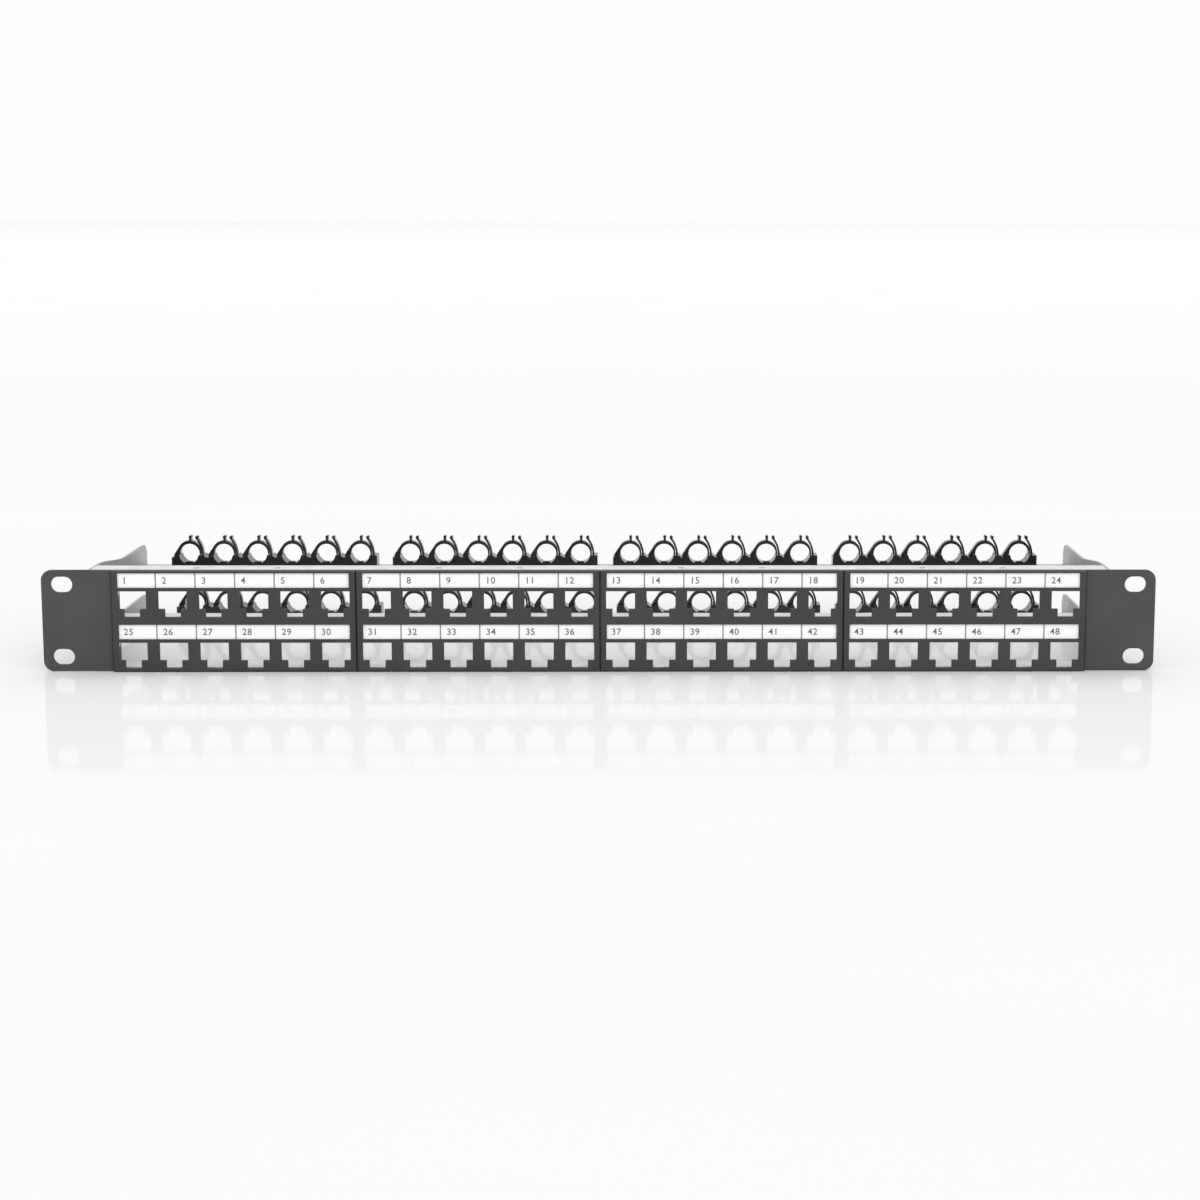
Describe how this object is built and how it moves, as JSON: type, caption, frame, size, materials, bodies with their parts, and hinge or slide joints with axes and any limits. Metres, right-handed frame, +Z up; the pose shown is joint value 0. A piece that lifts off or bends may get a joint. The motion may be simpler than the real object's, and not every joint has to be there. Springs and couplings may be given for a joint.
{
  "type": "patch panel",
  "caption": "Rack-mount modular patch panel with moulded port bezels, label windows, a galvanised frame and two rear cable bars with hinged cable clips.",
  "frame": {"origin": "centre of the four rack slots, in the plane where the rack ears bear on the rack's rails", "axes": "+X to the right seen from the front, +Y to the rear of the rack, +Z up"},
  "size_m": [0.4826, 0.1153, 0.0444],
  "materials": {
    "black_steel": "fine satin black powder coat",
    "bezel_plastic": "matte black moulded plastic, fine spark-eroded grain",
    "galvanised_steel": "galvanised sheet, faint rolling marks and spangle",
    "bar_steel": "duller zinc-coated sheet of the cable bars",
    "zinc_plated_steel": "bright zinc plate",
    "label_card": "white card with grey cell lines and port numbers",
    "clear_plastic": "clear polished plastic",
    "clip_nylon": "glossy black moulded nylon"
  },
  "bodies": {
    "root": {"rack_ears": "black_steel", "rear_frame": "galvanised_steel", "bezel_1": "bezel_plastic", "bezel_2": "bezel_plastic", "bezel_3": "bezel_plastic", "bezel_4": "bezel_plastic", "label_strips": "label_card", "label_covers": "clear_plastic", "upper_cable_bar": "bar_steel", "lower_cable_bar": "bar_steel", "clip_strips": "clip_nylon", "fasteners": "zinc_plated_steel"},
    "strap_01": {"clip_strap_01": "clip_nylon"},
    "strap_02": {"clip_strap_02": "clip_nylon"},
    "strap_03": {"clip_strap_03": "clip_nylon"},
    "strap_04": {"clip_strap_04": "clip_nylon"},
    "strap_05": {"clip_strap_05": "clip_nylon"},
    "strap_06": {"clip_strap_06": "clip_nylon"},
    "strap_07": {"clip_strap_07": "clip_nylon"},
    "strap_08": {"clip_strap_08": "clip_nylon"},
    "strap_09": {"clip_strap_09": "clip_nylon"},
    "strap_10": {"clip_strap_10": "clip_nylon"},
    "strap_11": {"clip_strap_11": "clip_nylon"},
    "strap_12": {"clip_strap_12": "clip_nylon"},
    "strap_13": {"clip_strap_13": "clip_nylon"},
    "strap_14": {"clip_strap_14": "clip_nylon"},
    "strap_15": {"clip_strap_15": "clip_nylon"},
    "strap_16": {"clip_strap_16": "clip_nylon"},
    "strap_17": {"clip_strap_17": "clip_nylon"},
    "strap_18": {"clip_strap_18": "clip_nylon"},
    "strap_19": {"clip_strap_19": "clip_nylon"},
    "strap_20": {"clip_strap_20": "clip_nylon"},
    "strap_21": {"clip_strap_21": "clip_nylon"},
    "strap_22": {"clip_strap_22": "clip_nylon"},
    "strap_23": {"clip_strap_23": "clip_nylon"},
    "strap_24": {"clip_strap_24": "clip_nylon"},
    "strap_25": {"clip_strap_25": "clip_nylon"},
    "strap_26": {"clip_strap_26": "clip_nylon"},
    "strap_27": {"clip_strap_27": "clip_nylon"},
    "strap_28": {"clip_strap_28": "clip_nylon"},
    "strap_29": {"clip_strap_29": "clip_nylon"},
    "strap_30": {"clip_strap_30": "clip_nylon"},
    "strap_31": {"clip_strap_31": "clip_nylon"},
    "strap_32": {"clip_strap_32": "clip_nylon"},
    "strap_33": {"clip_strap_33": "clip_nylon"},
    "strap_34": {"clip_strap_34": "clip_nylon"},
    "strap_35": {"clip_strap_35": "clip_nylon"},
    "strap_36": {"clip_strap_36": "clip_nylon"},
    "strap_37": {"clip_strap_37": "clip_nylon"},
    "strap_38": {"clip_strap_38": "clip_nylon"},
    "strap_39": {"clip_strap_39": "clip_nylon"},
    "strap_40": {"clip_strap_40": "clip_nylon"},
    "strap_41": {"clip_strap_41": "clip_nylon"},
    "strap_42": {"clip_strap_42": "clip_nylon"},
    "strap_43": {"clip_strap_43": "clip_nylon"},
    "strap_44": {"clip_strap_44": "clip_nylon"},
    "strap_45": {"clip_strap_45": "clip_nylon"},
    "strap_46": {"clip_strap_46": "clip_nylon"},
    "strap_47": {"clip_strap_47": "clip_nylon"},
    "strap_48": {"clip_strap_48": "clip_nylon"}
  },
  "joints": [
    {"name": "strap_hinge_01", "type": "hinge", "parent": "root", "child": "strap_01", "pos_m": [-0.20578, 0.1062, 0.0122], "axis": [0, -1, 0], "range_deg": [0, 60]},
    {"name": "strap_hinge_02", "type": "hinge", "parent": "root", "child": "strap_02", "pos_m": [-0.18943, 0.1062, 0.0122], "axis": [0, -1, 0], "range_deg": [0, 60]},
    {"name": "strap_hinge_03", "type": "hinge", "parent": "root", "child": "strap_03", "pos_m": [-0.17309, 0.1062, 0.0122], "axis": [0, -1, 0], "range_deg": [0, 60]},
    {"name": "strap_hinge_04", "type": "hinge", "parent": "root", "child": "strap_04", "pos_m": [-0.15676, 0.1062, 0.0122], "axis": [0, -1, 0], "range_deg": [0, 60]},
    {"name": "strap_hinge_05", "type": "hinge", "parent": "root", "child": "strap_05", "pos_m": [-0.14042, 0.1062, 0.0122], "axis": [0, -1, 0], "range_deg": [0, 60]},
    {"name": "strap_hinge_06", "type": "hinge", "parent": "root", "child": "strap_06", "pos_m": [-0.12408, 0.1062, 0.0122], "axis": [0, -1, 0], "range_deg": [0, 60]},
    {"name": "strap_hinge_07", "type": "hinge", "parent": "root", "child": "strap_07", "pos_m": [-0.10032, 0.1062, 0.0122], "axis": [0, -1, 0], "range_deg": [0, 60]},
    {"name": "strap_hinge_08", "type": "hinge", "parent": "root", "child": "strap_08", "pos_m": [-0.08399, 0.1062, 0.0122], "axis": [0, -1, 0], "range_deg": [0, 60]},
    {"name": "strap_hinge_09", "type": "hinge", "parent": "root", "child": "strap_09", "pos_m": [-0.06764, 0.1062, 0.0122], "axis": [0, -1, 0], "range_deg": [0, 60]},
    {"name": "strap_hinge_10", "type": "hinge", "parent": "root", "child": "strap_10", "pos_m": [-0.05131, 0.1062, 0.0122], "axis": [0, -1, 0], "range_deg": [0, 60]},
    {"name": "strap_hinge_11", "type": "hinge", "parent": "root", "child": "strap_11", "pos_m": [-0.03497, 0.1062, 0.0122], "axis": [0, -1, 0], "range_deg": [0, 60]},
    {"name": "strap_hinge_12", "type": "hinge", "parent": "root", "child": "strap_12", "pos_m": [-0.01862, 0.1062, 0.0122], "axis": [0, -1, 0], "range_deg": [0, 60]},
    {"name": "strap_hinge_13", "type": "hinge", "parent": "root", "child": "strap_13", "pos_m": [0.00513, 0.1062, 0.0122], "axis": [0, -1, 0], "range_deg": [0, 60]},
    {"name": "strap_hinge_14", "type": "hinge", "parent": "root", "child": "strap_14", "pos_m": [0.02147, 0.1062, 0.0122], "axis": [0, -1, 0], "range_deg": [0, 60]},
    {"name": "strap_hinge_15", "type": "hinge", "parent": "root", "child": "strap_15", "pos_m": [0.0378, 0.1062, 0.0122], "axis": [0, -1, 0], "range_deg": [0, 60]},
    {"name": "strap_hinge_16", "type": "hinge", "parent": "root", "child": "strap_16", "pos_m": [0.05414, 0.1062, 0.0122], "axis": [0, -1, 0], "range_deg": [0, 60]},
    {"name": "strap_hinge_17", "type": "hinge", "parent": "root", "child": "strap_17", "pos_m": [0.07049, 0.1062, 0.0122], "axis": [0, -1, 0], "range_deg": [0, 60]},
    {"name": "strap_hinge_18", "type": "hinge", "parent": "root", "child": "strap_18", "pos_m": [0.08682, 0.1062, 0.0122], "axis": [0, -1, 0], "range_deg": [0, 60]},
    {"name": "strap_hinge_19", "type": "hinge", "parent": "root", "child": "strap_19", "pos_m": [0.11058, 0.1062, 0.0122], "axis": [0, -1, 0], "range_deg": [0, 60]},
    {"name": "strap_hinge_20", "type": "hinge", "parent": "root", "child": "strap_20", "pos_m": [0.12692, 0.1062, 0.0122], "axis": [0, -1, 0], "range_deg": [0, 60]},
    {"name": "strap_hinge_21", "type": "hinge", "parent": "root", "child": "strap_21", "pos_m": [0.14325, 0.1062, 0.0122], "axis": [0, -1, 0], "range_deg": [0, 60]},
    {"name": "strap_hinge_22", "type": "hinge", "parent": "root", "child": "strap_22", "pos_m": [0.15959, 0.1062, 0.0122], "axis": [0, -1, 0], "range_deg": [0, 60]},
    {"name": "strap_hinge_23", "type": "hinge", "parent": "root", "child": "strap_23", "pos_m": [0.17594, 0.1062, 0.0122], "axis": [0, -1, 0], "range_deg": [0, 60]},
    {"name": "strap_hinge_24", "type": "hinge", "parent": "root", "child": "strap_24", "pos_m": [0.19228, 0.1062, 0.0122], "axis": [0, -1, 0], "range_deg": [0, 60]},
    {"name": "strap_hinge_25", "type": "hinge", "parent": "root", "child": "strap_25", "pos_m": [-0.20413, 0.1062, -0.0119], "axis": [0, -1, 0], "range_deg": [0, 60]},
    {"name": "strap_hinge_26", "type": "hinge", "parent": "root", "child": "strap_26", "pos_m": [-0.18779, 0.1062, -0.0119], "axis": [0, -1, 0], "range_deg": [0, 60]},
    {"name": "strap_hinge_27", "type": "hinge", "parent": "root", "child": "strap_27", "pos_m": [-0.17144, 0.1062, -0.0119], "axis": [0, -1, 0], "range_deg": [0, 60]},
    {"name": "strap_hinge_28", "type": "hinge", "parent": "root", "child": "strap_28", "pos_m": [-0.1551, 0.1062, -0.0119], "axis": [0, -1, 0], "range_deg": [0, 60]},
    {"name": "strap_hinge_29", "type": "hinge", "parent": "root", "child": "strap_29", "pos_m": [-0.13876, 0.1062, -0.0119], "axis": [0, -1, 0], "range_deg": [0, 60]},
    {"name": "strap_hinge_30", "type": "hinge", "parent": "root", "child": "strap_30", "pos_m": [-0.12243, 0.1062, -0.0119], "axis": [0, -1, 0], "range_deg": [0, 60]},
    {"name": "strap_hinge_31", "type": "hinge", "parent": "root", "child": "strap_31", "pos_m": [-0.09867, 0.1062, -0.0119], "axis": [0, -1, 0], "range_deg": [0, 60]},
    {"name": "strap_hinge_32", "type": "hinge", "parent": "root", "child": "strap_32", "pos_m": [-0.08234, 0.1062, -0.0119], "axis": [0, -1, 0], "range_deg": [0, 60]},
    {"name": "strap_hinge_33", "type": "hinge", "parent": "root", "child": "strap_33", "pos_m": [-0.06599, 0.1062, -0.0119], "axis": [0, -1, 0], "range_deg": [0, 60]},
    {"name": "strap_hinge_34", "type": "hinge", "parent": "root", "child": "strap_34", "pos_m": [-0.04965, 0.1062, -0.0119], "axis": [0, -1, 0], "range_deg": [0, 60]},
    {"name": "strap_hinge_35", "type": "hinge", "parent": "root", "child": "strap_35", "pos_m": [-0.03331, 0.1062, -0.0119], "axis": [0, -1, 0], "range_deg": [0, 60]},
    {"name": "strap_hinge_36", "type": "hinge", "parent": "root", "child": "strap_36", "pos_m": [-0.01698, 0.1062, -0.0119], "axis": [0, -1, 0], "range_deg": [0, 60]},
    {"name": "strap_hinge_37", "type": "hinge", "parent": "root", "child": "strap_37", "pos_m": [0.00677, 0.1062, -0.0119], "axis": [0, -1, 0], "range_deg": [0, 60]},
    {"name": "strap_hinge_38", "type": "hinge", "parent": "root", "child": "strap_38", "pos_m": [0.02312, 0.1062, -0.0119], "axis": [0, -1, 0], "range_deg": [0, 60]},
    {"name": "strap_hinge_39", "type": "hinge", "parent": "root", "child": "strap_39", "pos_m": [0.03945, 0.1062, -0.0119], "axis": [0, -1, 0], "range_deg": [0, 60]},
    {"name": "strap_hinge_40", "type": "hinge", "parent": "root", "child": "strap_40", "pos_m": [0.05579, 0.1062, -0.0119], "axis": [0, -1, 0], "range_deg": [0, 60]},
    {"name": "strap_hinge_41", "type": "hinge", "parent": "root", "child": "strap_41", "pos_m": [0.07214, 0.1062, -0.0119], "axis": [0, -1, 0], "range_deg": [0, 60]},
    {"name": "strap_hinge_42", "type": "hinge", "parent": "root", "child": "strap_42", "pos_m": [0.08847, 0.1062, -0.0119], "axis": [0, -1, 0], "range_deg": [0, 60]},
    {"name": "strap_hinge_43", "type": "hinge", "parent": "root", "child": "strap_43", "pos_m": [0.11223, 0.1062, -0.0119], "axis": [0, -1, 0], "range_deg": [0, 60]},
    {"name": "strap_hinge_44", "type": "hinge", "parent": "root", "child": "strap_44", "pos_m": [0.12857, 0.1062, -0.0119], "axis": [0, -1, 0], "range_deg": [0, 60]},
    {"name": "strap_hinge_45", "type": "hinge", "parent": "root", "child": "strap_45", "pos_m": [0.14491, 0.1062, -0.0119], "axis": [0, -1, 0], "range_deg": [0, 60]},
    {"name": "strap_hinge_46", "type": "hinge", "parent": "root", "child": "strap_46", "pos_m": [0.16124, 0.1062, -0.0119], "axis": [0, -1, 0], "range_deg": [0, 60]},
    {"name": "strap_hinge_47", "type": "hinge", "parent": "root", "child": "strap_47", "pos_m": [0.17758, 0.1062, -0.0119], "axis": [0, -1, 0], "range_deg": [0, 60]},
    {"name": "strap_hinge_48", "type": "hinge", "parent": "root", "child": "strap_48", "pos_m": [0.19392, 0.1062, -0.0119], "axis": [0, -1, 0], "range_deg": [0, 60]}
  ]
}
